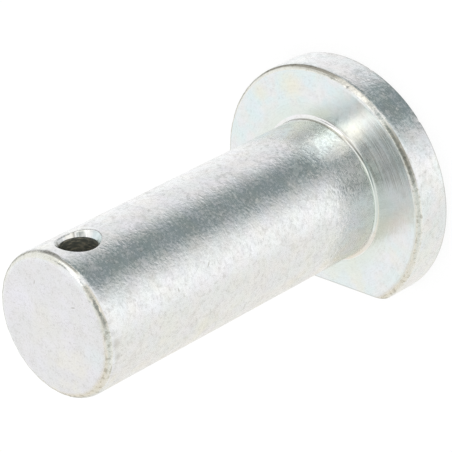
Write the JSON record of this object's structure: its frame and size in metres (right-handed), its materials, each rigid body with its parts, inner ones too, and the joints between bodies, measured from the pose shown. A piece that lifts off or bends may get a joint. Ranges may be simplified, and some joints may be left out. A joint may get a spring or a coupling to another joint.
{
  "type": "clevis pin",
  "caption": "Turned steel clevis pin with a D-shaped head: plain round shank, flat on the head that stops it turning, and a countersunk split-pin hole near the tip.",
  "frame": {"origin": "centre of the head's back face, on the pin's axis", "axes": "+Z along the shank from head to tip, -Y the way the head's flat faces, and the split-pin hole runs along Y"},
  "size_m": [0.035, 0.0315, 0.0555],
  "materials": {
    "zinc_plated_steel": "satin"
  },
  "bodies": {
    "root": {"pin": "zinc_plated_steel"}
  },
  "joints": []
}
